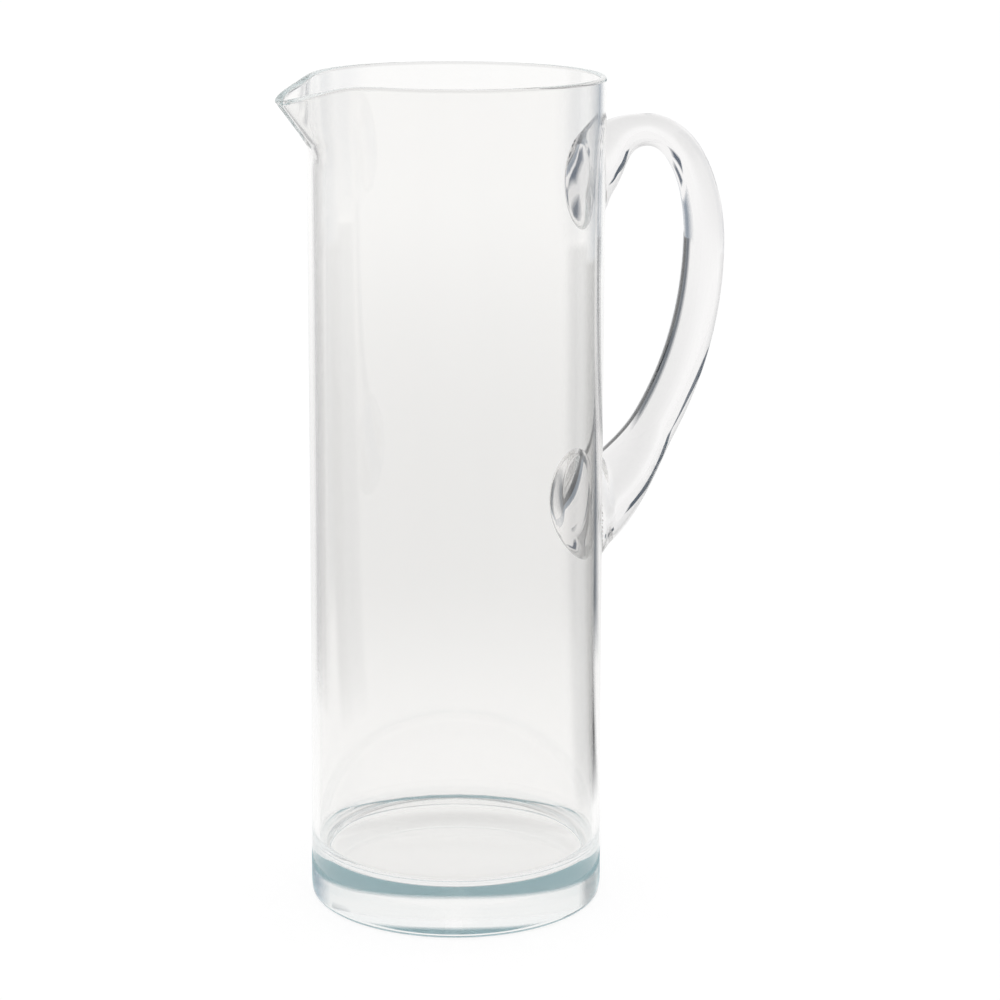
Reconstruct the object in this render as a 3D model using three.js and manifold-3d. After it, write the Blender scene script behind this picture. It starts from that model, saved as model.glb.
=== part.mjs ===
// A clear glass water jug in two pieces: a blown vessel with a heavy base and a pulled lip,
// and a solid drawn handle that is sealed to the wall at two places.
// Millimetres, +Z up. The origin is the centre of the underside.
// The handle is toward +X and the lip toward -X.

import * as THREE from "three";
import { mergeVertices } from "three/addons/utils/BufferGeometryUtils.js";
import Module from "manifold-3d";

// Vessel
const HEIGHT = 295; // underside to the level part of the rim
const FOOT_RADIUS = 52.6; // outside of the wall at the foot
const MOUTH_RADIUS = 51.6; // outside of the wall at the rim
const WAIST = 0.35; // how far the wall draws in halfway up
const WALL = 2.6; // thickness of the wall, square to it
const FLOOR = 17.3; // solid glass under the edge of the inside floor
const FLOOR_DISH = 1.2; // how far the inside floor sinks to its middle
const FLOOR_CORNER = 7; // round between the floor and the inside of the wall
const FOOT_EDGE = 2; // round between the underside and the outside of the wall

// Pulled lip
const LIP_REACH = 15.4; // how far the tip is drawn out of the wall
const LIP_DEPTH = 31; // height of wall that is drawn out, below the rim
const LIP_BEND = 10; // height over which the wall bends from upright to the slope of the lip
const LIP_HALF_WIDTH = 12; // along the rim, from the tip to where little of the reach is left
const LIP_DIP = 6.1; // how far the tip hangs below the rim
const LIP_DIP_HALF_WIDTH = 12.8; // along the rim, from the tip to where little of the dip is left
const LIP_FULLNESS = 1.7; // 1 draws a pointed lip and 2 a round one

// Handle, along the middle of the rod
const UPPER_SEAL_DROP = 37; // where the rod meets the wall, below the rim
const UPPER_SEAL_SLOPE = 57; // degrees that the rod rises from the wall
const UPPER_SEAL_REACH = 15; // how far it keeps to that slope
const BOW_RISE = 14.8; // highest point of the rod, above the upper seal
const BOW_OUT = 22.5; // that point, from the wall
const BOW_INNER_FLAT = 8; // how long the rod lies level before that point
const BOW_OUTER_FLAT = 15; // how long it lies level after it
const GRIP_DROP = 26; // furthest point of the rod, below the upper seal
const GRIP_OUT = 47.3; // that point, from the wall
const GRIP_UPPER_FLAT = 21; // how long the rod stands upright above that point
const GRIP_LOWER_FLAT = 48.5; // how long it stands upright below it
const SEAL_SPAN = 123; // between the seals
const LOWER_SEAL_SLOPE = 39; // degrees that the rod rises from the wall
const LOWER_SEAL_REACH = 27; // how far it keeps to that slope

// Handle, thickness of the rod in the plane of the bow
const UPPER_SEAL_THICKNESS = 20.5;
const BOW_THICKNESS = 11.5;
const GRIP_THICKNESS = 14.2;
const LEG_THICKNESS = 16;
const LEG_PLACE = 0.62; // share of the way from the furthest point to the lower seal
const LOWER_SEAL_THICKNESS = 26.5;
const ROD_OVAL = 1.2; // width of the rod over its thickness

// Handle, where its ends spread over the wall as soft drops
const SEAL_REACH = 7; // how far from the wall the rod starts to spread
const UPPER_SEAL_SPREAD = 0.8; // how far the drop spreads past the rod, to each side
const UPPER_SEAL_LIFT = -1.4; // how far the drop's middle lies above the rod's
const LOWER_SEAL_SPREAD = 4.2;
const LOWER_SEAL_LIFT = 3.5;
const SEAL_GAP = 0.3; // between the handle's seals and the wall

// Fineness of the faces
const MERIDIANS = 96; // round the vessel
const MERIDIAN_BUNCH = 0.5; // how closely the meridians gather at the lip, from 0 to 1
const WALL_RINGS = 5; // up the plain wall
const LIP_RINGS = 9; // up the wall that is drawn out
const ROUND_RINGS = 6; // round each rounded edge
const FLOOR_RINGS = 3; // over the inside floor
const ROD_SIDES = 28; // round the rod
const ROD_STATIONS = 100; // along the rod
const ROD_GATHER = 0.6; // how closely the stations gather at the seals, from 0 to 1

const wasm = await Module();
wasm.setup();

// Outside radius of the wall at a height, before the lip is drawn.
function wallRadius(height) {
  const share = THREE.MathUtils.clamp(height / HEIGHT, 0, 1);
  return THREE.MathUtils.lerp(FOOT_RADIUS, MOUTH_RADIUS, share) - WAIST * 4 * share * (1 - share);
}

// Falls from 1 at the tip of the lip to 0 away from it. The angle is counted from the tip.
function lipShare(angle, halfWidth) {
  return Math.exp(-((Math.abs(angle) * MOUTH_RADIUS / halfWidth) ** LIP_FULLNESS));
}

// Rises from 0 where the wall starts to leave the upright to 1 at the tip, bent first and straight after.
function lipRamp(height) {
  const length = LIP_DEPTH - LIP_DIP;
  const rise = height - (HEIGHT - LIP_DEPTH);
  const slope = 1 / (length - LIP_BEND / 2);
  if (rise <= 0) {
    return 0;
  }
  return rise < LIP_BEND ? slope * rise * rise / (2 * LIP_BEND) : slope * (rise - LIP_BEND / 2);
}

// Outside radius of the wall with the lip drawn.
function drawnRadius(angle, height) {
  return wallRadius(height) + LIP_REACH * lipShare(angle, LIP_HALF_WIDTH) * lipRamp(height);
}

// How much longer a level cut through the drawn wall is than the wall is thick.
function levelStretch(angle, height) {
  const step = 0.01;
  const radius = drawnRadius(angle, height);
  const climb = (drawnRadius(angle, height + step) - radius) / step;
  const turn = (drawnRadius(angle + step, height) - drawnRadius(angle - step, height)) / (2 * step * radius);
  return Math.hypot(1, climb, turn);
}

// Drop of the glass at a height: all of the dip at the rim, and none where the lip starts.
function dipAt(angle, height) {
  const share = THREE.MathUtils.clamp((height - HEIGHT + LIP_DEPTH) / LIP_DEPTH, 0, 1);
  return LIP_DIP * lipShare(angle, LIP_DIP_HALF_WIDTH) * share;
}

// Points on an arc, with angles in degrees.
function arc(centreX, centreY, radius, from, to, steps) {
  return Array.from({ length: steps + 1 }, (_, i) => {
    const angle = THREE.MathUtils.degToRad(THREE.MathUtils.lerp(from, to, i / steps));
    return new THREE.Vector2(centreX + radius * Math.cos(angle), centreY + radius * Math.sin(angle));
  });
}

// Points up or down the wall, at a depth from its outside.
function wallLine(depth, from, to, steps) {
  return Array.from({ length: steps + 1 }, (_, i) => {
    const height = THREE.MathUtils.lerp(from, to, i / steps);
    return new THREE.Vector2(wallRadius(height) - depth, height);
  });
}

// Points over the dished floor, from its edge to its middle.
function floorLine(edge) {
  return Array.from({ length: FLOOR_RINGS + 1 }, (_, i) => {
    const share = 1 - i / FLOOR_RINGS;
    return new THREE.Vector2(edge * share, FLOOR - FLOOR_DISH * (1 - share * share));
  });
}

// Section of the vessel from the middle of the underside, up the outside, over the rim and down to the floor.
function vesselProfile() {
  const lipStart = HEIGHT - LIP_DEPTH;
  const rimCentre = HEIGHT - WALL / 2;
  const cornerHeight = FLOOR + FLOOR_CORNER;
  const cornerCentre = wallRadius(cornerHeight) - WALL - FLOOR_CORNER;
  const footCentre = wallRadius(FOOT_EDGE) - FOOT_EDGE;
  return [
    new THREE.Vector2(0, 0),
    ...arc(footCentre, FOOT_EDGE, FOOT_EDGE, -90, 0, ROUND_RINGS),
    ...wallLine(0, FOOT_EDGE, lipStart, WALL_RINGS).slice(1),
    ...wallLine(0, lipStart, rimCentre, LIP_RINGS).slice(1),
    ...arc(wallRadius(rimCentre) - WALL / 2, rimCentre, WALL / 2, 0, 180, ROUND_RINGS).slice(1, -1),
    ...wallLine(WALL, rimCentre, lipStart, LIP_RINGS),
    ...wallLine(WALL, lipStart, cornerHeight, WALL_RINGS).slice(1),
    ...arc(cornerCentre, cornerHeight, FLOOR_CORNER, 0, -90, ROUND_RINGS).slice(1),
    ...floorLine(cornerCentre).slice(1),
  ];
}

// Body of revolution about Z, with its meridians gathered at the lip.
// shape(angle, radius, height) says where a point of the profile goes.
function revolve(profile, shape) {
  const geometry = new THREE.LatheGeometry(profile, MERIDIANS);
  const position = geometry.attributes.position;
  for (let i = 0; i < position.count; i += 1) {
    const even = 2 * Math.PI * Math.floor(i / profile.length) / MERIDIANS - Math.PI;
    const angle = even - MERIDIAN_BUNCH * Math.sin(even);
    const point = profile[i % profile.length];
    const [radius, height] = shape(angle, point.x, point.y);
    position.setXYZ(i, -radius * Math.cos(angle), -radius * Math.sin(angle), height);
  }
  return geometry;
}

// Draws a point of the vessel out with the lip, keeping the thickness of the wall.
function drawLip(angle, radius, height) {
  if (height < HEIGHT - LIP_DEPTH) {
    return [radius, height];
  }
  const depth = wallRadius(height) - radius;
  const dropped = height - dipAt(angle, height);
  return [drawnRadius(angle, dropped) - depth * levelStretch(angle, dropped), dropped];
}

// Everything inside the outside of the wall, grown by the gap of the seals.
function sealCutter() {
  const profile = [
    new THREE.Vector2(0, 0),
    ...wallLine(-SEAL_GAP, 0, HEIGHT, 2 * WALL_RINGS),
    new THREE.Vector2(0, HEIGHT),
  ];
  return revolve(profile, (angle, radius, height) => [radius, height]);
}

// Middle of the rod from the upper seal over the bow to the lower seal, in the plane of the handle.
// Each end runs on into the vessel as far as its oval section needs to meet the wall all round.
function rodStretches() {
  const slope = (degrees) => new THREE.Vector3(
    Math.cos(THREE.MathUtils.degToRad(degrees)),
    0,
    Math.sin(THREE.MathUtils.degToRad(degrees)),
  );
  const out = (distance, height) => new THREE.Vector3(wallRadius(height) + distance, 0, height);
  const upperHeight = HEIGHT - UPPER_SEAL_DROP;
  const upper = out(0, upperHeight);
  const bow = out(BOW_OUT, upperHeight + BOW_RISE);
  const grip = out(GRIP_OUT, upperHeight - GRIP_DROP);
  const lower = out(0, upperHeight - SEAL_SPAN);
  const upperSlope = slope(UPPER_SEAL_SLOPE);
  const lowerSlope = slope(LOWER_SEAL_SLOPE);
  const along = new THREE.Vector3(1, 0, 0);
  const up = new THREE.Vector3(0, 0, 1);
  const from = (point, direction, distance) => point.clone().addScaledVector(direction, distance);
  const bury = (thickness, rise) => (thickness / 2) * (rise.z / rise.x + ROD_OVAL);
  const upperEnd = from(upper, upperSlope, -bury(UPPER_SEAL_THICKNESS, upperSlope));
  const lowerEnd = from(lower, lowerSlope, -bury(LOWER_SEAL_THICKNESS, lowerSlope));
  return [
    new THREE.LineCurve3(upperEnd, upper),
    new THREE.CubicBezierCurve3(
      upper,
      from(upper, upperSlope, UPPER_SEAL_REACH),
      from(bow, along, -BOW_INNER_FLAT),
      bow,
    ),
    new THREE.CubicBezierCurve3(
      bow,
      from(bow, along, BOW_OUTER_FLAT),
      from(grip, up, GRIP_UPPER_FLAT),
      grip,
    ),
    new THREE.CubicBezierCurve3(
      grip,
      from(grip, up, -GRIP_LOWER_FLAT),
      from(lower, lowerSlope, LOWER_SEAL_REACH),
      lower,
    ),
    new THREE.LineCurve3(lower, lowerEnd),
  ];
}

// Thickness of the rod at a length along it.
// It follows a smooth curve through the named places that never overshoots them.
function rodThickness(places, length) {
  const last = places.length - 1;
  const secant = (i) => (places[i + 1].thickness - places[i].thickness) / (places[i + 1].at - places[i].at);
  const slope = (i) => {
    if (i === 0 || i === last || secant(i - 1) * secant(i) <= 0) {
      return 0;
    }
    return 2 * secant(i - 1) * secant(i) / (secant(i - 1) + secant(i));
  };
  const within = THREE.MathUtils.clamp(length, places[0].at, places[last].at);
  const i = Math.max(0, places.findIndex((place) => within <= place.at) - 1);
  const span = places[i + 1].at - places[i].at;
  const t = (within - places[i].at) / span;
  const ease = t * t * (3 - 2 * t);
  return THREE.MathUtils.lerp(places[i].thickness, places[i + 1].thickness, ease)
    + span * t * (1 - t) * ((1 - t) * slope(i) - t * slope(i + 1));
}

// Spreads a point of the rod near the wall away from the middle of its seal, and lifts it.
// It moves along the wall, by all of the spread where it touches and by none at the seal's reach.
function spreadSeal(point, seal) {
  const away = Math.hypot(point.x, point.y);
  const clear = away - wallRadius(point.z);
  const share = THREE.MathUtils.smoothstep(SEAL_REACH - clear, 0, SEAL_REACH);
  const growth = seal.spread / (seal.thickness / 2 * ROD_OVAL) * share;
  const middle = seal.height + clear * Math.tan(THREE.MathUtils.degToRad(seal.slope));
  const height = point.z + (point.z - middle) * growth + seal.lift * share;
  const turn = Math.atan2(point.y, point.x) * (1 + growth);
  const radius = wallRadius(height) + clear;
  point.set(radius * Math.cos(turn), radius * Math.sin(turn), height);
}

// Turns the diagonals in one half of the rod's faces, so that the two halves mirror each other.
function mirrorDiagonals(rod) {
  const { position } = rod.attributes;
  const { index } = rod;
  const [alongRod] = rod.groups;
  const cornersOfFace = 6;
  for (let i = alongRod.start; i < alongRod.start + alongRod.count; i += cornersOfFace) {
    const [a, b, d, , c] = index.array.slice(i, i + cornersOfFace);
    if (position.getZ(a) + position.getZ(d) > 0) {
      index.array.set([a, b, c, a, c, d], i);
    }
  }
}

// The rod with its ends buried in the vessel: an oval section carried along the middle line.
function rodGeometry() {
  const path = new THREE.CurvePath();
  rodStretches().forEach((stretch) => path.add(stretch));
  const [upper, bow, grip, lower] = path.getCurveLengths();
  const places = [
    { at: upper, thickness: UPPER_SEAL_THICKNESS },
    { at: bow, thickness: BOW_THICKNESS },
    { at: grip, thickness: GRIP_THICKNESS },
    { at: THREE.MathUtils.lerp(grip, lower, LEG_PLACE), thickness: LEG_THICKNESS },
    { at: lower, thickness: LOWER_SEAL_THICKNESS },
  ];
  const upperSeal = {
    height: HEIGHT - UPPER_SEAL_DROP,
    slope: UPPER_SEAL_SLOPE,
    thickness: UPPER_SEAL_THICKNESS,
    spread: UPPER_SEAL_SPREAD,
    lift: UPPER_SEAL_LIFT,
  };
  const lowerSeal = {
    height: HEIGHT - UPPER_SEAL_DROP - SEAL_SPAN,
    slope: LOWER_SEAL_SLOPE,
    thickness: LOWER_SEAL_THICKNESS,
    spread: LOWER_SEAL_SPREAD,
    lift: LOWER_SEAL_LIFT,
  };
  const total = path.getLength();
  const geometry = new THREE.CylinderGeometry(1, 1, 1, ROD_SIDES, ROD_STATIONS);
  mirrorDiagonals(geometry);
  const position = geometry.attributes.position;
  for (let i = 0; i < position.count; i += 1) {
    const even = 0.5 - position.getY(i);
    const share = even - ROD_GATHER * Math.sin(2 * Math.PI * even) / (2 * Math.PI);
    const centre = path.getPoint(share);
    const tangent = path.getTangent(share);
    const half = rodThickness(places, share * total) / 2;
    const inPlane = half * position.getX(i);
    const across = half * ROD_OVAL * position.getZ(i);
    const point = new THREE.Vector3(
      centre.x - tangent.z * inPlane,
      -across,
      centre.z + tangent.x * inPlane,
    );
    spreadSeal(point, share * total < grip ? upperSeal : lowerSeal);
    position.setXYZ(i, point.x, point.y, point.z);
  }
  return geometry;
}

// Closed solid of a geometry whose neighbouring faces share their corners.
function solid(geometry) {
  const bare = geometry.clone();
  bare.deleteAttribute("normal");
  bare.deleteAttribute("uv");
  const merged = mergeVertices(bare);
  const vertProperties = new Float32Array(merged.attributes.position.array);
  const triVerts = new Uint32Array(merged.index.array);
  return new wasm.Manifold(new wasm.Mesh({ numProp: 3, vertProperties, triVerts }));
}

// Named piece of the jug from a solid.
function piece(name, body, material) {
  const mesh = body.getMesh();
  const geometry = new THREE.BufferGeometry();
  geometry.setAttribute("position", new THREE.BufferAttribute(mesh.vertProperties, 3));
  geometry.setIndex(new THREE.BufferAttribute(mesh.triVerts, 1));
  geometry.computeVertexNormals();
  const result = new THREE.Mesh(geometry, material);
  result.name = name;
  return result;
}

const vesselGlass = new THREE.MeshStandardMaterial({ color: 0xe9eeec, roughness: 0.04, metalness: 0 });
const handleGlass = new THREE.MeshStandardMaterial({ color: 0xe4ebea, roughness: 0.05, metalness: 0 });

const vessel = solid(revolve(vesselProfile(), drawLip));
const handle = solid(rodGeometry()).subtract(solid(sealCutter()));

const jug = new THREE.Group();
jug.add(piece("vessel", vessel, vesselGlass));
jug.add(piece("handle", handle, handleGlass));

export default jug;
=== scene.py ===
"""Looks of a tall clear crystal pitcher.

A blown vessel with a heavy base and a pulled pouring lip carries one solid drawn handle, sealed to its
wall at two places. Metres, +Z up, with the handle toward +X and the lip toward -X.
"""

import logging
import math
from dataclasses import dataclass
from enum import Enum
from typing import Iterable, Union

import bmesh
import bpy
from mathutils import Matrix, Vector


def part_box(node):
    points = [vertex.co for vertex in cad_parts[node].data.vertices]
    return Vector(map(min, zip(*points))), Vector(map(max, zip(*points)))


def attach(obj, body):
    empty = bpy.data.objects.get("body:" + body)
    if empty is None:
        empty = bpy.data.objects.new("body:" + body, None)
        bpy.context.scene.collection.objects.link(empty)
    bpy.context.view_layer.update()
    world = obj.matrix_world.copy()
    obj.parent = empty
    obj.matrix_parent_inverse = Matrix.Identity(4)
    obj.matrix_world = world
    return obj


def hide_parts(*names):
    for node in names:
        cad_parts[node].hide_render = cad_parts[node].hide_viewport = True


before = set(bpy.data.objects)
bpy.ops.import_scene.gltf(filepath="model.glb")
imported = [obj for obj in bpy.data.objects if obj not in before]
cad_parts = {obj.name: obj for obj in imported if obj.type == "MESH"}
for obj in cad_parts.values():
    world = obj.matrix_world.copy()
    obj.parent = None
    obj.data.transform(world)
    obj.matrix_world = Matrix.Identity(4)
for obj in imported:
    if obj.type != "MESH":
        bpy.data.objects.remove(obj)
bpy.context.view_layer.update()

LOG = logging.getLogger("pitcher")
MM = 0.001

# Points of a sheet that are closer than this are joined.
SEAM = 0.001 * MM
# Slack for rounding where lengths are compared.
ROUNDING = 1e-12

Number = Union[int, float]
Operand = Union["Field", Number]
Fields = tuple["Field", ...]
Profile = list[tuple[float, float]]
Colour = tuple[float, float, float]


class Node(Enum):
    """The solids of the part that the pieces stand for."""

    VESSEL = "vessel"
    HANDLE = "handle"


class Slot(Enum):
    """Names for the two finishes."""

    VESSEL_GLASS = "vessel_glass"
    HANDLE_GLASS = "handle_glass"


class Step(Enum):
    """The steps of arithmetic that a node tree takes."""

    ADD = "ADD"
    TAKE = "SUBTRACT"
    TIMES = "MULTIPLY"
    OVER = "DIVIDE"
    POWER = "POWER"
    ROOT = "SQRT"
    EXPONENT = "EXPONENT"
    SIZE = "ABSOLUTE"
    SINE = "SINE"
    COSINE = "COSINE"
    LEAST = "MINIMUM"
    MOST = "MAXIMUM"
    WHOLE = "FLOOR"
    UNDER = "LESS_THAN"
    ANGLE = "ARCTAN2"


class Field:
    """A number that changes from point to point, kept as a socket of a node tree."""

    def __init__(self, tree: "ShapeTree", socket: bpy.types.NodeSocket) -> None:
        """Hold one socket of a tree."""
        self.tree = tree
        self.socket = socket

    def step(self, step: Step, *others: Operand) -> "Field":
        """Take one step of arithmetic with this number first.

        Args:
            step: What is done.
            others: The numbers that follow this one.

        Returns:
            The result.
        """
        return self.tree.sum(step, self, *others)

    def __add__(self, other: Operand) -> "Field":
        """This and another number."""
        return self.step(Step.ADD, other)

    def __radd__(self, other: Number) -> "Field":
        """A plain number and this."""
        return self.step(Step.ADD, other)

    def __sub__(self, other: Operand) -> "Field":
        """This less another number."""
        return self.step(Step.TAKE, other)

    def __rsub__(self, other: Number) -> "Field":
        """A plain number less this."""
        return self.tree.sum(Step.TAKE, other, self)

    def __mul__(self, other: Operand) -> "Field":
        """This times another number."""
        return self.step(Step.TIMES, other)

    def __rmul__(self, other: Number) -> "Field":
        """A plain number times this."""
        return self.step(Step.TIMES, other)

    def __truediv__(self, other: Operand) -> "Field":
        """This over another number."""
        return self.step(Step.OVER, other)

    def __pow__(self, other: Operand) -> "Field":
        """This to a power."""
        return self.step(Step.POWER, other)

    def __neg__(self) -> "Field":
        """This with its sign turned."""
        return self.step(Step.TIMES, -1.0)

    def between(self, low: Operand, high: Operand) -> "Field":
        """This kept between two limits."""
        return self.step(Step.MOST, low).step(Step.LEAST, high)


class ShapeTree:
    """A Geometry Nodes tree that carries a line of points over a surface, with named inputs for its sizes."""

    def __init__(self, name: str) -> None:
        """Start an empty tree.

        Args:
            name: Name of the tree.
        """
        self.group = bpy.data.node_groups.new(name, "GeometryNodeTree")
        self.values: dict[str, object] = {}
        self.group.interface.new_socket("Line", in_out="INPUT", socket_type="NodeSocketGeometry")
        self.group.interface.new_socket("Piece", in_out="OUTPUT", socket_type="NodeSocketGeometry")
        self.inputs = self.group.nodes.new("NodeGroupInput")
        self.outputs = self.group.nodes.new("NodeGroupOutput")

    @property
    def line(self) -> bpy.types.NodeSocket:
        """The line of points that the tree starts from."""
        return self.inputs.outputs["Line"]

    def add(self, kind: str, links: dict[str, object], **settings: object) -> bpy.types.Node:
        """Add a node.

        Args:
            kind: Kind of node.
            links: Value, field or socket for each input, by the input's name.
            settings: Properties of the node.

        Returns:
            The node.
        """
        node = self.group.nodes.new(kind)
        for name, value in settings.items():
            setattr(node, name, value)
        for name, value in links.items():
            self.feed(node.inputs[name], value)
        return node

    def feed(self, socket: bpy.types.NodeSocket, value: object) -> None:
        """Link a socket or field to an input, or set a plain value on it.

        Args:
            socket: The input.
            value: What it takes.
        """
        if isinstance(value, Field):
            value = value.socket
        if isinstance(value, bpy.types.NodeSocket):
            self.group.links.new(value, socket)
        else:
            socket.default_value = value

    def sum(self, step: Step, *numbers: Operand) -> Field:
        """Add one step of arithmetic.

        Args:
            step: What is done.
            numbers: The numbers in order.

        Returns:
            The result.
        """
        node = self.group.nodes.new("ShaderNodeMath")
        node.operation = step.value
        for socket, number in zip(node.inputs, numbers):
            self.feed(socket, number)
        return Field(self, node.outputs[0])

    def named(self, name: str, value: object, kind: str) -> bpy.types.NodeSocket:
        """Add a named input.

        Args:
            name: Name of the input.
            value: What the modifier gives it.
            kind: Kind of socket.

        Returns:
            The input's socket inside the tree.
        """
        made = self.group.interface.new_socket(name, in_out="INPUT", socket_type=kind)
        self.values[made.identifier] = value
        return self.inputs.outputs[name]

    def size(self, name: str, value: float) -> Field:
        """Add a named size."""
        return Field(self, self.named(name, value, "NodeSocketFloat"))

    def count(self, name: str, value: int) -> Field:
        """Add a named count."""
        return Field(self, self.named(name, value, "NodeSocketInt"))

    def sheet(self, columns: Field) -> tuple[bpy.types.NodeSocket, Field, Field]:
        """Lay out a sheet of points: a row for each point of the line.

        Args:
            columns: Points in each row, less one.

        Returns:
            The sheet, the row of each of its points and the share of the way along that row.
        """
        size = self.add("GeometryNodeAttributeDomainSize", {"Geometry": self.line}, component="MESH")
        links = {"Vertices X": size.outputs["Point Count"], "Vertices Y": columns + 1}
        grid = self.add("GeometryNodeMeshGrid", links)
        index = Field(self, self.add("GeometryNodeInputIndex", {}).outputs[0])
        row = (index / (columns + 1)).step(Step.WHOLE)
        share = (index - row * (columns + 1)) / columns
        links = {"Geometry": grid.outputs["Mesh"], "Name": "UVMap", "Value": grid.outputs["UV Map"]}
        store = self.add("GeometryNodeStoreNamedAttribute", links, data_type="FLOAT2", domain="CORNER")
        return store.outputs["Geometry"], row, share

    def at_row(self, row: Field, name: str = "") -> Fields:
        """Read the line's point, or a number stored on it, at a row of the sheet.

        Args:
            row: The row.
            name: Name of the number, or nothing for the place.

        Returns:
            The number, or the three coordinates of the place.
        """
        if name:
            value = self.add("GeometryNodeInputNamedAttribute", {"Name": name}, data_type="FLOAT").outputs[0]
        else:
            value = self.add("GeometryNodeInputPosition", {}).outputs[0]
        kind = "FLOAT" if name else "FLOAT_VECTOR"
        links = {"Geometry": self.line, "Index": row}
        sample = self.add("GeometryNodeSampleIndex", links, data_type=kind, domain="POINT")
        self.feed(sample.inputs["Value"], value)
        if name:
            return (Field(self, sample.outputs["Value"]),)
        parts = self.add("ShaderNodeSeparateXYZ", {"Vector": sample.outputs["Value"]})
        return tuple(Field(self, socket) for socket in parts.outputs)

    def end(self, sheet: bpy.types.NodeSocket, place: Fields, glass: bpy.types.Material) -> None:
        """Put the sheet in place, close its seams and give it its finish.

        Args:
            sheet: The sheet.
            place: Coordinates of each of its points.
            glass: The finish.
        """
        spot = self.add("ShaderNodeCombineXYZ", dict(zip("XYZ", place)))
        moved = self.add("GeometryNodeSetPosition", {"Geometry": sheet, "Position": spot.outputs[0]})
        links = {"Geometry": moved.outputs[0], "Distance": SEAM}
        merged = self.add("GeometryNodeMergeByDistance", links)
        smooth = self.add("GeometryNodeSetShadeSmooth", {"Geometry": merged.outputs[0]})
        real = self.add("GeometryNodeRealizeInstances", {"Geometry": smooth.outputs[0]})
        finish = self.named("Glass", glass, "NodeSocketMaterial")
        dressed = self.add("GeometryNodeSetMaterial", {"Geometry": real.outputs[0], "Material": finish})
        self.group.links.new(dressed.outputs[0], self.outputs.inputs[0])

    def bake(self, name: str, points: list[Vector], numbers: dict[str, list[float]]) -> bpy.types.Object:
        """Run the tree over a line of points and keep the result as a plain mesh.

        Args:
            name: Name of the piece.
            points: The line.
            numbers: Numbers stored on its points.

        Returns:
            The piece.
        """
        line = bpy.data.meshes.new(name + "_line")
        line.from_pydata(points, [(i, i + 1) for i in range(len(points) - 1)], [])
        for key, values in numbers.items():
            line.attributes.new(key, "FLOAT", "POINT").data.foreach_set("value", values)
        piece = bpy.data.objects.new(name, line)
        bpy.context.scene.collection.objects.link(piece)
        shape = piece.modifiers.new("shape", "NODES")
        shape.node_group = self.group
        for identifier, value in self.values.items():
            shape[identifier] = value
        graph = bpy.context.evaluated_depsgraph_get()
        mesh = bpy.data.meshes.new_from_object(piece.evaluated_get(graph), depsgraph=graph)
        piece.modifiers.remove(shape)
        piece.data = mesh
        mesh.name = name
        bpy.data.meshes.remove(line)
        turn_outward(mesh)
        return piece


def turn_outward(mesh: bpy.types.Mesh) -> None:
    """Make the faces of a closed mesh point outwards.

    Args:
        mesh: The mesh.
    """
    shell = bmesh.new()
    shell.from_mesh(mesh)
    if shell.calc_volume(signed=True) < 0:
        bmesh.ops.reverse_faces(shell, faces=shell.faces)
    shell.to_mesh(mesh)
    shell.free()


def socket_of(sockets: Iterable[bpy.types.NodeSocket], identifier: str) -> bpy.types.NodeSocket:
    """The socket with an identifier, where others have the same name."""
    return next(socket for socket in sockets if socket.identifier == identifier)


def shares(steps: int) -> list[float]:
    """Even shares from 0 to 1, without the first."""
    return [(i + 1) / steps for i in range(steps)]


def arc(centre: tuple[float, float], radius: float, start: float, end: float, steps: int) -> Profile:
    """Points on an arc, without the first.

    Args:
        centre: Middle of the arc.
        radius: Its radius.
        start: Angle that it starts at, in degrees.
        end: Angle that it ends at, in degrees.
        steps: Number of points.

    Returns:
        The points.
    """
    angles = [math.radians(start + (end - start) * share) for share in shares(steps)]
    return [(centre[0] + radius * math.cos(a), centre[1] + radius * math.sin(a)) for a in angles]


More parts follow.
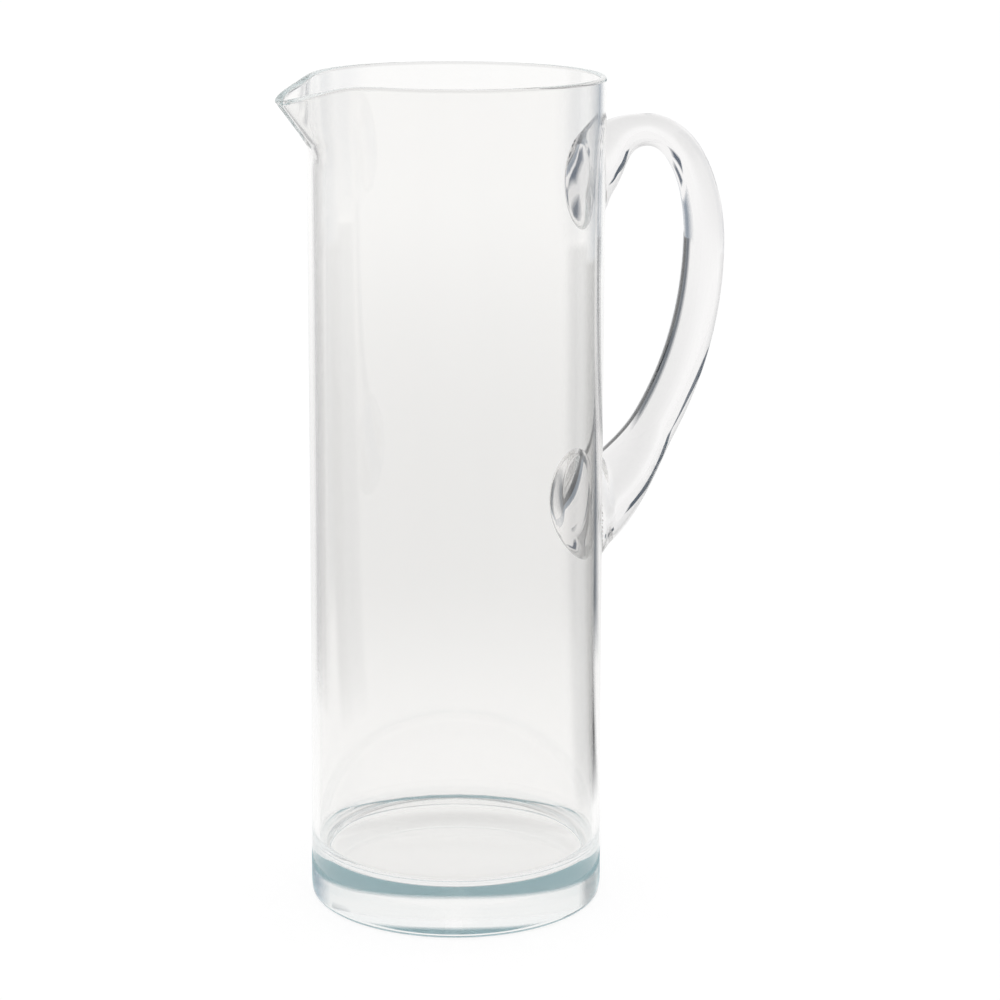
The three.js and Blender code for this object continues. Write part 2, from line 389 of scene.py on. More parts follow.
@dataclass(frozen=True)
class Striae:
    """Faint waves and marks that blowing and drawing leave in glass, as one shader group for both pieces.

    The polish gives way to the smear where the fine noise rises from one level to the other.
    """

    name: str = "glass_striae"
    slow_scale: float = 1.0
    slow_detail: float = 1.0
    fine_scale: float = 6.0
    fine_detail: float = 2.0
    smear_from: float = 0.45
    smear_to: float = 0.75

    def group(self) -> bpy.types.ShaderNodeTree:
        """Build the group, or find it if it is there.

        Returns:
            The group, which turns a place into a wave height, a roughness and a faint tint.
        """
        if self.name in bpy.data.node_groups:
            return bpy.data.node_groups[self.name]
        group = bpy.data.node_groups.new(self.name, "ShaderNodeTree")
        sockets = group.interface
        sockets.new_socket("Place", in_out="INPUT", socket_type="NodeSocketVector")
        for label in ("Wave", "Fine Wave", "Polish", "Smear"):
            sockets.new_socket(label, in_out="INPUT", socket_type="NodeSocketFloat")
        for label in ("Clear", "Tinted"):
            sockets.new_socket(label, in_out="INPUT", socket_type="NodeSocketColor")
        for label in ("Height", "Roughness"):
            sockets.new_socket(label, in_out="OUTPUT", socket_type="NodeSocketFloat")
        sockets.new_socket("Color", in_out="OUTPUT", socket_type="NodeSocketColor")
        nodes, links = group.nodes, group.links
        inward, outward = nodes.new("NodeGroupInput"), nodes.new("NodeGroupOutput")
        slow, fine = nodes.new("ShaderNodeTexNoise"), nodes.new("ShaderNodeTexNoise")
        for noise, scale, detail in (
            (slow, self.slow_scale, self.slow_detail),
            (fine, self.fine_scale, self.fine_detail),
        ):
            noise.inputs["Scale"].default_value = scale
            noise.inputs["Detail"].default_value = detail
            links.new(inward.outputs["Place"], noise.inputs["Vector"])
        tall = nodes.new("ShaderNodeMath")
        tall.operation = "MULTIPLY"
        links.new(slow.outputs["Fac"], tall.inputs[0])
        links.new(inward.outputs["Wave"], tall.inputs[1])
        height = nodes.new("ShaderNodeMath")
        height.operation = "MULTIPLY_ADD"
        links.new(fine.outputs["Fac"], height.inputs[0])
        links.new(inward.outputs["Fine Wave"], height.inputs[1])
        links.new(tall.outputs[0], height.inputs[2])
        links.new(height.outputs[0], outward.inputs["Height"])
        rough = nodes.new("ShaderNodeMapRange")
        rough.inputs["From Min"].default_value = self.smear_from
        rough.inputs["From Max"].default_value = self.smear_to
        links.new(fine.outputs["Fac"], rough.inputs["Value"])
        links.new(inward.outputs["Polish"], rough.inputs["To Min"])
        links.new(inward.outputs["Smear"], rough.inputs["To Max"])
        links.new(rough.outputs["Result"], outward.inputs["Roughness"])
        tint = nodes.new("ShaderNodeMix")
        tint.data_type = "RGBA"
        links.new(slow.outputs["Fac"], socket_of(tint.inputs, "Factor_Float"))
        links.new(inward.outputs["Clear"], socket_of(tint.inputs, "A_Color"))
        links.new(inward.outputs["Tinted"], socket_of(tint.inputs, "B_Color"))
        links.new(socket_of(tint.outputs, "Result_Color"), outward.inputs["Color"])
        return group


@dataclass(frozen=True)
class Crystal:
    """Clear crystal glass with a faint cool tint in its depth.

    The stretch gives how many waves there are along each axis of the pattern: in a metre, or over the whole
    piece where the pattern follows its surface.
    """

    name: str
    stretch: tuple[float, float, float]
    follows_surface: bool
    clear: Colour = (0.954, 0.950, 0.942)
    tinted: Colour = (0.944, 0.940, 0.932)
    wave: float = 0.02 * MM
    fine_wave: float = 0.002 * MM
    polish: float = 0.0
    smear: float = 0.012
    index: float = 1.53
    depth_colour: Colour = (0.50, 0.68, 0.70)
    depth_density: float = 0.3

    def material(self) -> bpy.types.Material:
        """Build the finish.

        Returns:
            The material.
        """
        glass = bpy.data.materials.new(self.name)
        glass.use_nodes = True
        nodes, links = glass.node_tree.nodes, glass.node_tree.links
        shader = nodes["Principled BSDF"]
        shader.inputs["Transmission Weight"].default_value = 1.0
        shader.inputs["IOR"].default_value = self.index
        place, turned = nodes.new("ShaderNodeTexCoord"), nodes.new("ShaderNodeMapping")
        turned.inputs["Scale"].default_value = self.stretch
        links.new(place.outputs["UV" if self.follows_surface else "Object"], turned.inputs["Vector"])
        striae = nodes.new("ShaderNodeGroup")
        striae.node_tree = Striae().group()
        for label, value in (
            ("Wave", self.wave),
            ("Fine Wave", self.fine_wave),
            ("Polish", self.polish),
            ("Smear", self.smear),
            ("Clear", (*self.clear, 1.0)),
            ("Tinted", (*self.tinted, 1.0)),
        ):
            striae.inputs[label].default_value = value
        links.new(turned.outputs[0], striae.inputs["Place"])
        bump = nodes.new("ShaderNodeBump")
        bump.inputs["Strength"].default_value = 1.0
        bump.inputs["Distance"].default_value = 1.0
        links.new(striae.outputs["Height"], bump.inputs["Height"])
        links.new(bump.outputs["Normal"], shader.inputs["Normal"])
        links.new(striae.outputs["Roughness"], shader.inputs["Roughness"])
        links.new(striae.outputs["Color"], shader.inputs["Base Color"])
        depth = nodes.new("ShaderNodeVolumeAbsorption")
        depth.inputs["Color"].default_value = (*self.depth_colour, 1.0)
        depth.inputs["Density"].default_value = self.depth_density
        links.new(depth.outputs["Volume"], nodes["Material Output"].inputs["Volume"])
        return glass


VESSEL_GLASS = Crystal("vessel_crystal", stretch=(38.0, 38.0, 7.0), follows_surface=False)
HANDLE_GLASS = Crystal(
    "handle_crystal",
    stretch=(5.0, 9.0, 1.0),
    follows_surface=True,
    clear=(0.93, 0.922, 0.92),
    tinted=(0.91, 0.902, 0.90),
)


@dataclass
class Vessel:
    """The blown body: a straight wall on a heavy solid base, with the lip pulled from its rim.

    The rings are shares of the radius at which the flat underside and the floor have points. The hold is
    the width of the narrow rows that keep flat faces flat next to the rounded edges. The probes are the
    short steps up the wall, and round it in radians, over which its slope is measured.
    """

    height: float
    foot_radius: float = 52.6 * MM
    mouth_radius: float = 51.6 * MM
    waist: float = 0.35 * MM
    wall: float = 2.6 * MM
    floor: float = 17.3 * MM
    floor_dish: float = 1.2 * MM
    floor_corner: float = 7 * MM
    foot_edge: float = 2 * MM
    lip_reach: float = 15.39 * MM
    lip_depth: float = 31 * MM
    lip_bend: float = 10 * MM
    lip_half_width: float = 12 * MM
    lip_dip: float = 6.1 * MM
    lip_dip_half_width: float = 12.8 * MM
    lip_fullness: float = 1.7
    meridians: int = 256
    meridian_bunch: float = 0.5
    hold: float = 0.4 * MM
    underside_rings: tuple[float, ...] = (0.2, 0.4, 0.6, 0.8, 0.93)
    floor_rings: tuple[float, ...] = (0.99, 0.96, 0.9, 0.8, 0.65, 0.5, 0.35, 0.2, 0.1, 0.0)
    foot_steps: int = 12
    wall_steps: int = 26
    lip_steps: int = 38
    rim_steps: int = 14
    corner_steps: int = 20
    probe_up: float = 0.1 * MM
    probe_round: float = 0.004

    def wall_radius(self, height: Operand) -> Operand:
        """Outside radius of the wall before the lip is drawn, with the waist deepest half way up.

        Args:
            height: Height above the underside, as a number or a field.

        Returns:
            The radius.
        """
        share = height / self.height
        taper = (self.mouth_radius - self.foot_radius) * share
        return self.foot_radius + taper - self.waist * 4 * share * (1 - share)

    def wall_line(self, depth: float, start: float, end: float, steps: int) -> Profile:
        """Points up or down the wall, without the first.

        Args:
            depth: Depth from the outside of the wall.
            start: Height that the line starts at.
            end: Height that it ends at.
            steps: Number of points.

        Returns:
            The points.
        """
        heights = [start + (end - start) * share for share in shares(steps)]
        return [(self.wall_radius(height) - depth, height) for height in heights]

    def profile(self) -> Profile:
        """Section from the middle of the underside, up the outside, over the rim and down to the floor.

        Returns:
            Radius and height of each point.
        """
        foot = self.wall_radius(self.foot_edge) - self.foot_edge
        lip_start = self.height - self.lip_depth
        rim = self.height - self.wall / 2
        corner = self.floor + self.floor_corner
        edge = self.wall_radius(corner) - self.wall - self.floor_corner
        hold = self.hold
        points = [(0.0, 0.0)]
        points += [(foot * share, 0.0) for share in self.underside_rings]
        points += [(foot - hold, 0.0), (foot, 0.0)]
        points += arc((foot, self.foot_edge), self.foot_edge, -90, 0, self.foot_steps)
        points += self.wall_line(0, self.foot_edge, self.foot_edge + hold, 1)
        points += self.wall_line(0, self.foot_edge + hold, lip_start, self.wall_steps)
        points += self.wall_line(0, lip_start, rim - hold, self.lip_steps)
        points += self.wall_line(0, rim - hold, rim, 1)
        points += arc((self.wall_radius(rim) - self.wall / 2, rim), self.wall / 2, 0, 180, self.rim_steps)
        points += self.wall_line(self.wall, rim, rim - hold, 1)
        points += self.wall_line(self.wall, rim - hold, lip_start, self.lip_steps)
        points += self.wall_line(self.wall, lip_start, corner + hold, self.wall_steps)
        points += self.wall_line(self.wall, corner + hold, corner, 1)
        points += arc((edge, corner), self.floor_corner, 0, -90, self.corner_steps)
        for share in self.floor_rings:
            points.append((edge * share, self.floor - self.floor_dish * (1 - share * share)))
        return points

    def tree(self, glass: bpy.types.Material) -> ShapeTree:
        """Rule of the shape: the profile turned about Z, with the lip drawn out of the rim.

        Args:
            glass: The finish.

        Returns:
            The tree.
        """
        tree = ShapeTree("turned_wall_with_pulled_lip")
        columns = tree.count("Meridians", self.meridians)
        bunch = tree.size("Meridian Bunch", self.meridian_bunch)
        height = tree.size("Height", self.height)
        mouth = tree.size("Mouth Radius", self.mouth_radius)
        reach = tree.size("Lip Reach", self.lip_reach)
        depth = tree.size("Lip Depth", self.lip_depth)
        bend = tree.size("Lip Bend", self.lip_bend)
        half_width = tree.size("Lip Half Width", self.lip_half_width)
        dip = tree.size("Lip Dip", self.lip_dip)
        dip_half_width = tree.size("Lip Dip Half Width", self.lip_dip_half_width)
        fullness = tree.size("Lip Fullness", self.lip_fullness)
        sheet, row, share = tree.sheet(columns)
        radius, _, level = tree.at_row(row)
        even = share * math.tau - math.pi
        angle = even - bunch * even.step(Step.SINE)
        start = height - depth

        def lip_share(turn: Field, width: Field) -> Field:
            """Falls from 1 at the tip to 0 away from it."""
            return (-((turn.step(Step.SIZE) * mouth / width) ** fullness)).step(Step.EXPONENT)

        def drawn(turn: Field, up: Field) -> Field:
            """Outside radius of the wall with the lip drawn.

            Args:
                turn: Angle round the vessel from the lip's tip.
                up: Height above the underside.

            Returns:
                The radius.
            """
            rise = up - start
            bent = rise.between(0.0, bend)
            ramp = (bent * bent / (bend * 2) + (rise - bend).step(Step.MOST, 0.0)) / (depth - dip - bend / 2)
            return self.wall_radius(up) + reach * lip_share(turn, half_width) * ramp

        drop = dip * lip_share(angle, dip_half_width) * ((level - start) / depth).between(0.0, 1.0)
        dropped = level - drop
        outside = drawn(angle, dropped)
        lift, nudge = self.probe_up, self.probe_round
        climb = (drawn(angle, dropped + lift) - outside) / lift
        turn = (drawn(angle + nudge, dropped) - drawn(angle - nudge, dropped)) / (outside * (2 * nudge))
        stretch = (climb * climb + turn * turn + 1).step(Step.ROOT)
        thickened = (stretch - 1) * start.step(Step.UNDER, level) + 1
        reached = outside - (self.wall_radius(level) - radius) * thickened
        across = -reached
        tree.end(sheet, (across * angle.step(Step.COSINE), across * angle.step(Step.SINE), dropped), glass)
        return tree

    def build(self, glass: bpy.types.Material) -> bpy.types.Object:
        """Make the vessel.

        Args:
            glass: The finish.

        Returns:
            The piece.
        """
        points = [Vector((radius, 0.0, level)) for radius, level in self.profile()]
        return self.tree(glass).bake("crystal_vessel", points, {})


@dataclass
class Handle:
    """The solid handle: an oval rod drawn from the upper seal over the bow and down to the lower seal.

    The rod's ends are sunk a little into the wall, as hot glass that has run together. Slopes and the crease
    are in degrees.
    """

    vessel: Vessel
    upper_seal_drop: float = 37 * MM
    upper_seal_slope: float = 57.0
    upper_seal_reach: float = 15 * MM
    bow_rise: float = 14.8 * MM
    bow_out: float = 22.5 * MM
    bow_inner_flat: float = 8 * MM
    bow_outer_flat: float = 15 * MM
    grip_drop: float = 26 * MM
    grip_out: float = 47.295 * MM
    grip_upper_flat: float = 21 * MM
    grip_lower_flat: float = 48.5 * MM
    seal_span: float = 123 * MM
    lower_seal_slope: float = 39.0
    lower_seal_reach: float = 27 * MM
    upper_seal_thickness: float = 20.5 * MM
    bow_thickness: float = 11.5 * MM
    grip_thickness: float = 14.2 * MM
    leg_thickness: float = 16 * MM
    leg_place: float = 0.62
    lower_seal_thickness: float = 26.5 * MM
    oval: float = 1.2
    seal_reach: float = 7 * MM
    upper_seal_spread: float = 0.8 * MM
    upper_seal_lift: float = -1.4 * MM
    lower_seal_spread: float = 4.2 * MM
    lower_seal_lift: float = 3.5 * MM
    seal_edge: float = 2.5 * MM
    sunk: float = 0.2 * MM
    sides: int = 144
    station: float = 0.7 * MM
    end_rings: int = 12
    end_step: float = 0.01 * MM
    slide_rounds: int = 3
    crease: float = 28.0

    def out(self, distance: float, level: float) -> Vector:
        """A point in the plane of the handle, at a distance from the wall."""
        return Vector((self.vessel.wall_radius(level) + distance, 0.0, level))

    def bends(self) -> list[list[Vector]]:
        """Bends of the rod's middle line, from the upper seal to the lower.

        Returns:
            The four points of each bend.
        """
        top = self.vessel.height - self.upper_seal_drop
        upper, lower = self.out(0, top), self.out(0, top - self.seal_span)
        bow = self.out(self.bow_out, top + self.bow_rise)
        grip = self.out(self.grip_out, top - self.grip_drop)
        along, up = Vector((1, 0, 0)), Vector((0, 0, 1))
        above = upper + slope(self.upper_seal_slope) * self.upper_seal_reach
        below = lower + slope(self.lower_seal_slope) * self.lower_seal_reach
        return [
            [upper, above, bow - along * self.bow_inner_flat, bow],
            [bow, bow + along * self.bow_outer_flat, grip + up * self.grip_upper_flat, grip],
            [grip, grip - up * self.grip_lower_flat, below, lower],
        ]

    def line(self) -> tuple[list[Vector], dict[str, list[float]]]:
        """Middle line of the rod with its half thickness and its direction at each point.

        Returns:
            The points, and the numbers stored on them.
        """
        points, marks = [], [0]
        for bend in self.bends():
            points += bezier(bend)[1 if points else 0 :]
            marks.append(len(points) - 1)
        lengths = [0.0]
        for before, after in zip(points, points[1:]):
            lengths.append(lengths[-1] + (after - before).length)
        upper, bow, grip, lower = (lengths[mark] for mark in marks)
        places = [upper, bow, grip, grip + (lower - grip) * self.leg_place, lower]
        thicknesses = [
            self.upper_seal_thickness,
            self.bow_thickness,
            self.grip_thickness,
            self.leg_thickness,
            self.lower_seal_thickness,
        ]
        steps = round(lengths[-1] / self.station)
        middle, halves, ways = [], [], []
        for at in [lengths[-1] * i / steps for i in range(steps + 1)]:
            i = next(k for k in range(1, len(lengths)) if lengths[k] >= at - ROUNDING)
            span = lengths[i] - lengths[i - 1]
            middle.append(points[i - 1].lerp(points[i], (at - lengths[i - 1]) / span))
            halves.append(smooth_through(places, thicknesses, at) / 2)
        for i in range(len(middle)):
            way = middle[min(i + 1, len(middle) - 1)] - middle[max(i - 1, 0)]
            ways.append(math.atan2(way.z, way.x))
        ways[0] = math.radians(self.upper_seal_slope)
        ways[-1] = math.radians(self.lower_seal_slope) - math.pi
        for end, sign in ((0, -1), (-1, 1)):
            self.bury(middle, halves, ways, end, sign)
        return middle, {"half": halves, "way": ways}

    def bury(self, middle: list[Vector], halves: list[float], ways: list[float], end: int, sign: int) -> None:
        """Run one end of the rod into the vessel, and close it.

        Args:
            middle: Middle line of the rod, which grows.
            halves: Half thickness at each point, which grows.
            ways: Direction at each point, which grows.
            end: Which end: 0 for the first and -1 for the last.
            sign: Whether the end runs along its direction or against it.
        """
        start, half, way = middle[end], halves[end], ways[end]
        heading = Vector((math.cos(way), 0.0, math.sin(way))) * sign
        depth = half * (abs(math.tan(way)) + self.oval)
        extra = [(depth * share, 1.0) for share in shares(math.ceil(depth / self.station))]
        rings = range(1, self.end_rings + 1)
        extra += [(depth + i * self.end_step, 1 - i / self.end_rings) for i in rings]
        for far, shrink in extra:
            where = 0 if end == 0 else len(middle)
            middle.insert(where, start + heading * far)
            halves.insert(where, half * shrink)
            ways.insert(where, way)

    def tree(self, glass: bpy.types.Material, rows: int) -> ShapeTree:
        """Rule of the shape: an oval section carried along the line, its buried ends drawn back to the wall.

        Args:
            glass: The finish.
            rows: Number of points of the line.

        Returns:
            The tree.
        """
        tree = ShapeTree("drawn_oval_rod_on_wall")
        columns = tree.count("Sides", self.sides)
        oval = tree.size("Oval", self.oval)
        sunk = tree.size("Sunk In Wall", self.sunk)
        middle = tree.count("Middle Row", rows // 2)
        sheet, row, share = tree.sheet(columns)
        out, _, level = tree.at_row(row)
        (half,) = tree.at_row(row, "half")
        (way,) = tree.at_row(row, "way")
        turn = share * math.tau
        in_plane = half * turn.step(Step.COSINE)
        across = half * oval * turn.step(Step.SINE)
        rise, run = way.step(Step.SINE), way.step(Step.COSINE)
        x, y, z = out - rise * in_plane, across, level + run * in_plane
        wall = self.vessel.wall_radius(z) - sunk
        buried = (x * x + y * y).step(Step.ROOT).step(Step.UNDER, wall)
        upper = row.step(Step.UNDER, middle)
        outward = upper * 2 - 1
        dx, dz = run * outward, rise * outward
        for _ in range(self.slide_rounds):
            slide = ((wall * wall - y * y).step(Step.MOST, 0.0).step(Step.ROOT) - x) / dx
            wall = self.vessel.wall_radius(z + dz * slide) - sunk
        slide = slide * buried
        tree.end(sheet, self.spread(tree, (x + dx * slide, y, z + dz * slide), sunk, upper), glass)
        return tree

    def spread(self, tree: ShapeTree, place: Fields, sunk: Field, upper: Field) -> Fields:
        """Spread the rod's ends over the wall as soft drops, with a rounded edge where they meet it.

        Args:
            tree: The tree.
            place: Coordinates of the rod's points.
            sunk: How deep the seals lie in the wall.
            upper: 1 at the points of the upper end, and 0 at those of the lower end.

        Returns:
            The coordinates of the spread rod.
        """
        edge = tree.size("Seal Edge", self.seal_edge)
        reach = tree.size("Seal Reach", self.seal_reach)
        top = self.vessel.height - self.upper_seal_drop

        def by_end(name: str, above: float, below: float) -> Field:
            """A named size that differs between the two ends."""
            return upper * tree.size("Upper " + name, above) + (1 - upper) * tree.size("Lower " + name, below)

        level = by_end("Seal Level", top, top - self.seal_span)
        climb = by_end("Seal Climb", climb_of(self.upper_seal_slope), climb_of(self.lower_seal_slope))
        widest = (self.upper_seal_thickness / 2 * self.oval, self.lower_seal_thickness / 2 * self.oval)
        width = by_end("Seal Half Width", *widest)
        growth = by_end("Seal Spread", self.upper_seal_spread, self.lower_seal_spread)
        lift = by_end("Seal Lift", self.upper_seal_lift, self.lower_seal_lift)
        x, y, z = place
        away = (x * x + y * y).step(Step.ROOT)
        clear = away - self.vessel.wall_radius(z) + sunk
        near = (1 - clear / reach).between(0.0, 1.0)
        ease = near * near * (3 - 2 * near)
        last = (1 - clear / edge).between(0.0, 1.0)
        scale = 1 + (growth * ease - edge * (1 - (1 - last * last).step(Step.ROOT))) / width
        middle = level + clear * climb
        lifted = z + (z - middle) * (scale - 1) + lift * ease
        turn = y.step(Step.ANGLE, x) * scale
        moved = away + self.vessel.wall_radius(lifted) - self.vessel.wall_radius(z)
        return moved * turn.step(Step.COSINE), moved * turn.step(Step.SINE), lifted

    def build(self, glass: bpy.types.Material) -> bpy.types.Object:
        """Make the handle.

        Args:
            glass: The finish.

        Returns:
            The piece.
        """
        points, numbers = self.line()
        piece = self.tree(glass, len(points)).bake("crystal_handle", points, numbers)
        piece.data.set_sharp_from_angle(angle=math.radians(self.crease))
        return piece


def slope(degrees: float) -> Vector:
    """Direction in the plane of the handle that rises by an angle."""
    return Vector((math.cos(math.radians(degrees)), 0.0, math.sin(math.radians(degrees))))


def climb_of(degrees: float) -> float:
    """Rise of a slope for each unit that it runs."""
    return math.tan(math.radians(degrees))


def bezier(bend: list[Vector], steps: int = 200) -> list[Vector]:
    """Points along a bend.

    Args:
        bend: Its two ends, with the two points that pull it between them.
        steps: Number of steps.

    Returns:
        The points.
    """
    points = []
    for i in range(steps + 1):
        t = i / steps
        shares_of = ((1 - t) ** 3, 3 * t * (1 - t) ** 2, 3 * t * t * (1 - t), t**3)
        points.append(sum((point * share for point, share in zip(bend, shares_of)), Vector()))
    return points


def smooth_through(places: list[float], values: list[float], at: float) -> float:
    """Smooth curve through values that never overshoots them.

    Args:
        places: Where the values hold, in rising order.
        values: The values.
        at: The place that is asked for.

    Returns:
        The value there.
    """
    secants = [(values[i + 1] - values[i]) / (places[i + 1] - places[i]) for i in range(len(places) - 1)]
    slopes = [0.0] * len(places)
    for i in range(1, len(places) - 1):
        before, after = secants[i - 1], secants[i]
        slopes[i] = 2 * before * after / (before + after) if before * after > 0 else 0.0
    at = min(max(at, places[0]), places[-1])
    i = max(0, next(k for k, place in enumerate(places) if at <= place) - 1)
    span = places[i + 1] - places[i]
    t = (at - places[i]) / span
    ease = t * t * (3 - 2 * t)
    bulge = span * t * (1 - t) * ((1 - t) * slopes[i] - t * slopes[i + 1])
    return values[i] + (values[i + 1] - values[i]) * ease + bulge


@dataclass(frozen=True)
class Card:
    """A card that lies or stands round the pitcher, seen only in the glass, which mirrors it along its edges.

    It is a part of a ring. Bearings are counted in degrees from the line of sight, toward the right. Near and
    far give the distance from the middle and the height of its two long edges. The fade is the share of the
    card over which it thins out at its sides, at its near edge and at its far edge.
    """

    name: str
    bearings: tuple[float, float]
    near: tuple[float, float]
    far: tuple[float, float]
    tone: Colour
    fade: tuple[float, float, float]
    glow: float = 0.0
    steps: int = 32

    def build(self, turned: float) -> None:
        """Put the card in its place.

        Args:
            turned: Bearing of the line of sight, in degrees from +Y toward +X.
        """
        points, faces, depths = [], [], []
        first, last = self.bearings
        side, inner, outer = self.fade
        row = self.steps + 1
        for i in range(row):
            for j in range(row):
                across, along = i / self.steps, j / self.steps
                bearing = math.radians(turned + first + (last - first) * across)
                away = self.near[0] + (self.far[0] - self.near[0]) * along
                height = self.near[1] + (self.far[1] - self.near[1]) * along
                points.append((math.sin(bearing) * away, math.cos(bearing) * away, height))
                ends = (across / side, (1 - across) / side, along / inner, (1 - along) / outer)
                depths.append(min(1.0, *ends))
        for i in range(self.steps):
            for j in range(self.steps):
                faces.append((i * row + j, i * row + j + 1, (i + 1) * row + j + 1, (i + 1) * row + j))
        mesh = bpy.data.meshes.new(self.name)
        mesh.from_pydata(points, [], faces)
        mesh.attributes.new("depth", "FLOAT", "POINT").data.foreach_set("value", depths)
        finish = matt(self.name, self.tone, self.glow)
        nodes, links = finish.node_tree.nodes, finish.node_tree.links
        depth = nodes.new("ShaderNodeAttribute")
        depth.attribute_name = "depth"
        links.new(depth.outputs["Fac"], nodes["Principled BSDF"].inputs["Alpha"])
        mesh.materials.append(finish)
        card = bpy.data.objects.new(self.name, mesh)
        bpy.context.scene.collection.objects.link(card)
        card.visible_camera = False
        card.visible_diffuse = False
        card.visible_shadow = False


def matt(name: str, tone: Colour, glow: float) -> bpy.types.Material:
    """A matt finish for the studio.

    Args:
        name: Name of the finish.
        tone: Its colour.
        glow: How strongly it shines by itself, in that colour.

    Returns:
        The material.
    """
    made = bpy.data.materials.new(name)
    made.use_nodes = True
    shader = made.node_tree.nodes["Principled BSDF"]
    shader.inputs["Base Color"].default_value = (*tone, 1.0)
    shader.inputs["Roughness"].default_value = 1.0
    shader.inputs["Specular IOR Level"].default_value = 0.0
    shader.inputs["Emission Color"].default_value = (*tone, 1.0)
    shader.inputs["Emission Strength"].default_value = glow
    return made


@dataclass
class Studio:
    """A pale lit floor, soft light all round, cards for the glass and a camera at the photograph's angle.

    The light dims between two heights of the sky. The floor's shade starts and ends over two rings round the
    pitcher. Angles are in degrees, and the lens and sensor in millimetres.
    """

    floor_radius: float = 16.0
    floor_sides: int = 96
    floor_drop: float = 0.4 * MM
    floor_tone: Colour = (0.30, 0.30, 0.30)
    floor_glow: float = 2.8
    floor_shade: float = 0.4
    shade_from: tuple[float, float] = (0.12, 0.45)
    shade_to: tuple[float, float] = (0.5, 1.9)
    bounces: int = 1024
    horizon: float = 1.0
    zenith: float = 0.4
    dims_from: float = 0.3
    dims_to: float = 0.9
    eye: tuple[float, float, float] = (-0.4234, -0.9035, 0.3904)
    turned: float = 26.0
    tilted: float = 13.811
    rolled: float = 0.248
    lens: float = 104.32
    sensor: float = 36.0
    sees_from: float = 0.01
    sees_to: float = 100.0
    cards: tuple[Card, ...] = (
        Card(
            "card_right_grey",
            bearings=(29.0, 50.0),
            near=(0.3, 0.001),
            far=(1.5, 0.001),
            tone=(0.20, 0.23, 0.27),
            fade=(0.35, 0.1, 0.001),
        ),
        Card(
            "card_right_blue",
            bearings=(22.0, 64.0),
            near=(1.4, 0.0005),
            far=(5.0, 0.0005),
            tone=(0.38, 0.46, 0.56),
            fade=(0.4, 0.001, 0.5),
        ),
        Card(
            "card_right_band",
            bearings=(54.0, 86.0),
            near=(0.12, 0.0015),
            far=(1.6, 0.0015),
            tone=(0.32, 0.34, 0.37),
            fade=(0.25, 0.05, 0.001),
        ),
        Card(
            "card_right_dark",
            bearings=(42.0, 62.0),
            near=(0.12, 0.002),
            far=(1.5, 0.002),
            tone=(0.02, 0.025, 0.03),
            fade=(0.18, 0.05, 0.001),
        ),
        Card(
            "card_right_high",
            bearings=(50.0, 100.0),
            near=(1.6, 0.002),
            far=(1.6, 1.6),
            tone=(0.40, 0.46, 0.55),
            fade=(0.4, 0.001, 0.6),
        ),
        Card(
            "card_seal_inner",
            bearings=(33.0, 47.0),
            near=(0.6, 0.245),
            far=(0.6, 0.345),
            tone=(0.07, 0.10, 0.15),
            fade=(0.3, 0.1, 0.4),
        ),
        Card(
            "card_seal_outer",
            bearings=(17.0, 29.0),
            near=(0.6, 0.245),
            far=(0.6, 0.345),
            tone=(0.07, 0.10, 0.15),
            fade=(0.3, 0.1, 0.4),
        ),
        Card(
            "card_back_left",
            bearings=(-60.0, -36.0),
            near=(2.0, 0.43),
            far=(2.0, 0.62),
            tone=(0.06, 0.09, 0.13),
            fade=(0.12, 0.1, 0.1),
        ),
        Card(
            "card_left",
            bearings=(-70.0, -41.0),
            near=(0.25, 0.0),
            far=(0.25, 0.34),
            tone=(0.62, 0.62, 0.63),
            fade=(0.3, 0.1, 0.2),
        ),
        # Painted shade: a teal ring just round the foot, seen only through the glass, stands in for the
        # shaded floor where the pitcher stands on it; it also glows faintly, though it is no lamp.
        Card(
            "card_foot_shade",
            bearings=(-180.0, 180.0),
            near=(0.0545, 0.0),
            far=(0.0545, 0.0125),
            tone=(0.60, 0.84, 0.90),
            fade=(0.001, 0.001, 0.15),
            glow=0.15,
        ),
    )

    def light(self) -> None:
        """Soft white light from all round, dimmer overhead."""
        world = bpy.data.worlds.new("soft_white")
        world.use_nodes = True
        nodes, links = world.node_tree.nodes, world.node_tree.links
        way, parts = nodes.new("ShaderNodeTexCoord"), nodes.new("ShaderNodeSeparateXYZ")
        fall = nodes.new("ShaderNodeMapRange")
        fall.interpolation_type = "SMOOTHSTEP"
        for label, value in (
            ("From Min", self.dims_from),
            ("From Max", self.dims_to),
            ("To Min", self.horizon),
            ("To Max", self.zenith),
        ):
            fall.inputs[label].default_value = value
        links.new(way.outputs["Generated"], parts.inputs[0])
        links.new(parts.outputs["Z"], fall.inputs["Value"])
        links.new(fall.outputs["Result"], nodes["Background"].inputs["Strength"])
        nodes["Background"].inputs["Color"].default_value = (1.0, 1.0, 1.0, 1.0)
        scene = bpy.context.scene
        scene.world = world
        scene.view_settings.view_transform = "Standard"
        scene.cycles.max_bounces = self.bounces
        scene.cycles.glossy_bounces = self.bounces
        scene.cycles.transmission_bounces = self.bounces

    def floor(self) -> None:
        """Pale floor that the pitcher stands on."""
        disc = bmesh.new()
        bmesh.ops.create_circle(disc, cap_ends=True, segments=self.floor_sides, radius=self.floor_radius)
        bmesh.ops.translate(disc, verts=disc.verts, vec=(0.0, 0.0, -self.floor_drop))
        mesh = bpy.data.meshes.new("pale_floor")
        disc.to_mesh(mesh)
        disc.free()
        finish = matt("pale_floor", self.floor_tone, self.floor_glow)
        self.shade_floor(finish)
        mesh.materials.append(finish)
        floor = bpy.data.objects.new("pale_floor", mesh)
        bpy.context.scene.collection.objects.link(floor)

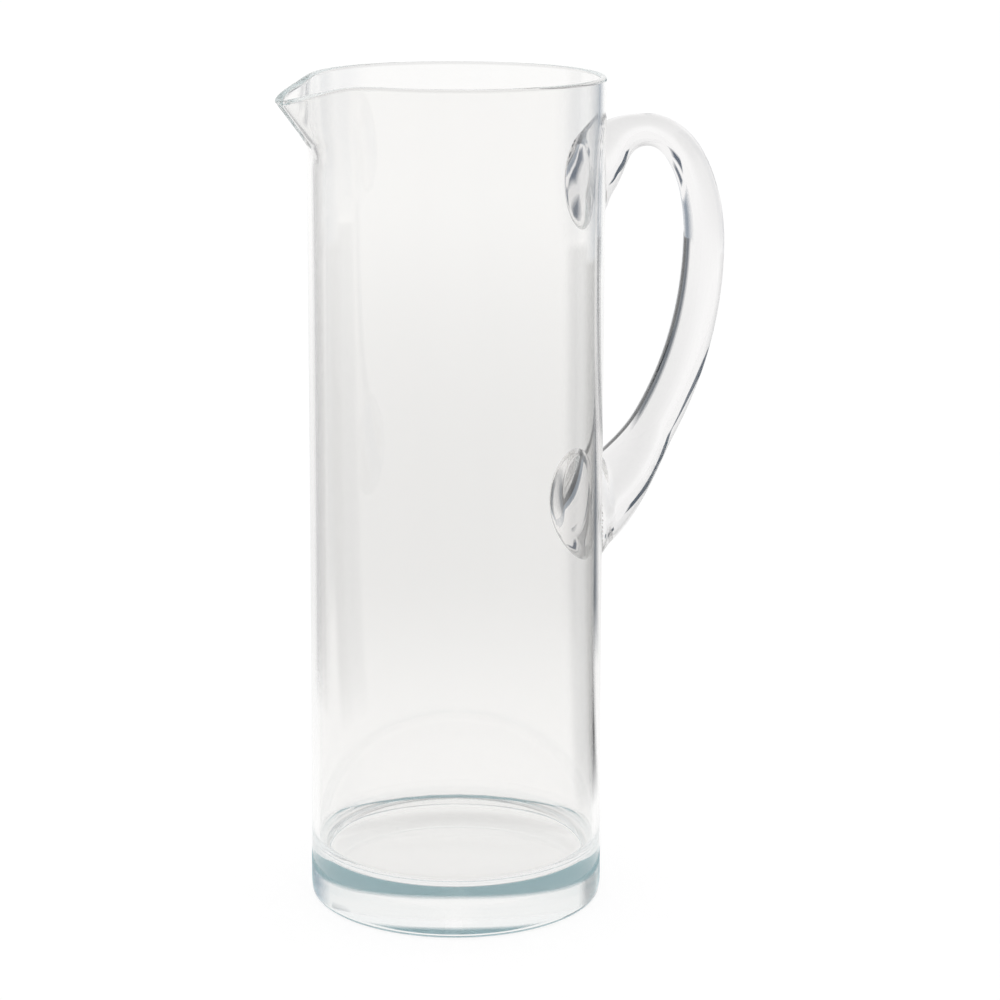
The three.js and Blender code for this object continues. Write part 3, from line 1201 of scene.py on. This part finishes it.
    def shade_floor(self, finish: bpy.types.Material) -> None:
        """Let the floor round the pitcher look a little dimmer through the glass than beside it.

        Args:
            finish: The floor's finish.
        """
        nodes, links = finish.node_tree.nodes, finish.node_tree.links
        place, away = nodes.new("ShaderNodeTexCoord"), nodes.new("ShaderNodeVectorMath")
        away.operation = "LENGTH"
        links.new(place.outputs["Object"], away.inputs[0])
        lit = self.floor_glow - self.floor_shade
        shade = nodes.new("ShaderNodeMapRange")
        ring = nodes.new("ShaderNodeMapRange")
        for ramp, (start, end), (low, high) in (
            (ring, self.shade_from, (self.floor_glow, lit)),
            (shade, self.shade_to, (lit, self.floor_glow)),
        ):
            ramp.interpolation_type = "SMOOTHSTEP"
            links.new(away.outputs["Value"], ramp.inputs["Value"])
            for label, value in (("From Min", start), ("From Max", end), ("To Min", low), ("To Max", high)):
                ramp.inputs[label].default_value = value
        brighter = nodes.new("ShaderNodeMath")
        brighter.operation = "MAXIMUM"
        links.new(ring.outputs["Result"], brighter.inputs[0])
        links.new(shade.outputs["Result"], brighter.inputs[1])
        path, glow = nodes.new("ShaderNodeLightPath"), nodes.new("ShaderNodeMix")
        links.new(path.outputs["Is Camera Ray"], socket_of(glow.inputs, "Factor_Float"))
        links.new(brighter.outputs[0], socket_of(glow.inputs, "A_Float"))
        socket_of(glow.inputs, "B_Float").default_value = self.floor_glow
        strength = nodes["Principled BSDF"].inputs["Emission Strength"]
        links.new(socket_of(glow.outputs, "Result_Float"), strength)

    def camera(self) -> None:
        """Camera at the photograph's angle."""
        lens = bpy.data.cameras.new("eye")
        lens.lens = self.lens
        lens.sensor_width = self.sensor
        lens.clip_start = self.sees_from
        lens.clip_end = self.sees_to
        camera = bpy.data.objects.new("eye", lens)
        turned, tilted = math.radians(self.turned), math.radians(self.tilted)
        ahead = Vector(
            (math.sin(turned) * math.cos(tilted), math.cos(turned) * math.cos(tilted), -math.sin(tilted))
        )
        aim = ahead.to_track_quat("-Z", "Y").to_matrix().to_4x4()
        roll = Matrix.Rotation(math.radians(self.rolled), 4, "Z")
        camera.matrix_world = Matrix.Translation(Vector(self.eye)) @ aim @ roll
        bpy.context.scene.collection.objects.link(camera)
        bpy.context.scene.camera = camera


def join(piece: bpy.types.Object, node: Node) -> None:
    """Put a piece in the place of its solid and report it.

    Args:
        piece: The piece.
        node: The solid that it stands for.
    """
    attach(piece, "root")
    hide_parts(node.value)
    LOG.info("%s: %d faces, for %s", piece.name, len(piece.data.polygons), node.value)


def main() -> None:
    """Build the pitcher and the studio round it."""
    logging.basicConfig(level=logging.INFO, format="%(name)s: %(message)s")
    low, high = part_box(Node.VESSEL.value)
    vessel = Vessel(height=high.z - low.z)
    join(vessel.build(VESSEL_GLASS.material()), Node.VESSEL)
    handle = Handle(vessel)
    join(handle.build(HANDLE_GLASS.material()), Node.HANDLE)
    studio = Studio()
    studio.light()
    studio.floor()
    for card in studio.cards:
        card.build(studio.turned)
    studio.camera()


if __name__ == "__main__":
    main()
